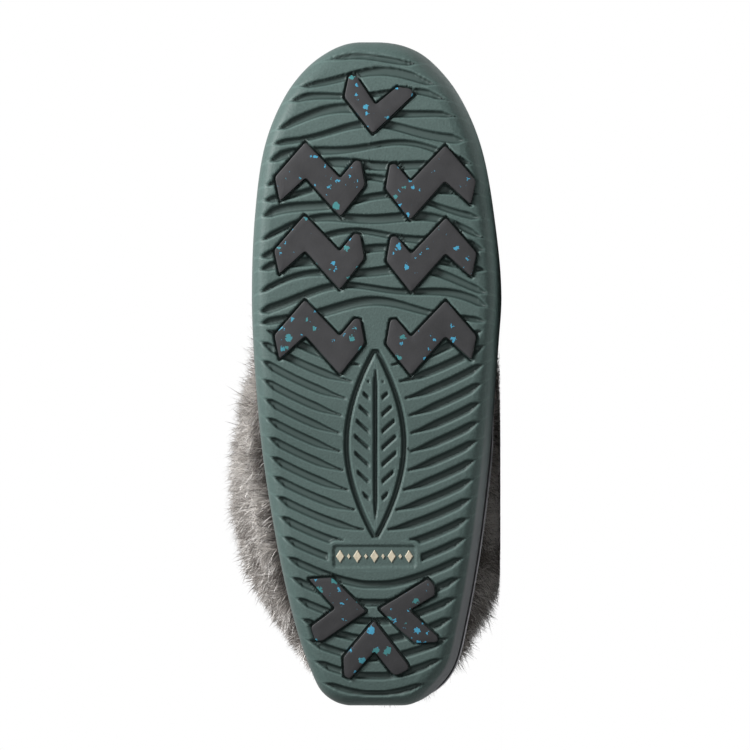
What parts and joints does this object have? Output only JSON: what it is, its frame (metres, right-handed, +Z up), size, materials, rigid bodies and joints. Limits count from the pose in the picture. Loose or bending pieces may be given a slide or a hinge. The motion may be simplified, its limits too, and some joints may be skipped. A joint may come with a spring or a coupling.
{
  "type": "mukluk boot",
  "caption": "Mukluk boot with a lugged rubber sole, hollow suede foot and shaft and a deep fur sleeve, lying on its outer side.",
  "frame": {"origin": "middle of the boot's bounding box, on the floor it lies on", "axes": "+X from the heel to the toe, +Y up the shaft away from the sole, +Z up, out of the boot's inner side"},
  "size_m": [0.287, 0.2338, 0.1325],
  "materials": {
    "green_rubber": "matte, fine grained",
    "black_rubber": "matte with small blue flecks",
    "dark_foam": "matte",
    "suede": "napped suede",
    "fleece": "short pile fleece",
    "binding": "napped suede",
    "fur": "long soft grey fur"
  },
  "bodies": {
    "root": {"outsole": "green_rubber", "lug_toe": "black_rubber", "lug_inner_1": "black_rubber", "lug_inner_2": "black_rubber", "lug_inner_3": "black_rubber", "lug_outer_1": "black_rubber", "lug_outer_2": "black_rubber", "lug_outer_3": "black_rubber", "lug_heel_inner": "black_rubber", "lug_heel_outer": "black_rubber", "lug_heel_centre": "black_rubber", "midsole": "dark_foam", "upper": "suede", "insole": "fleece", "collar": "binding", "fur": "fur"}
  },
  "joints": []
}
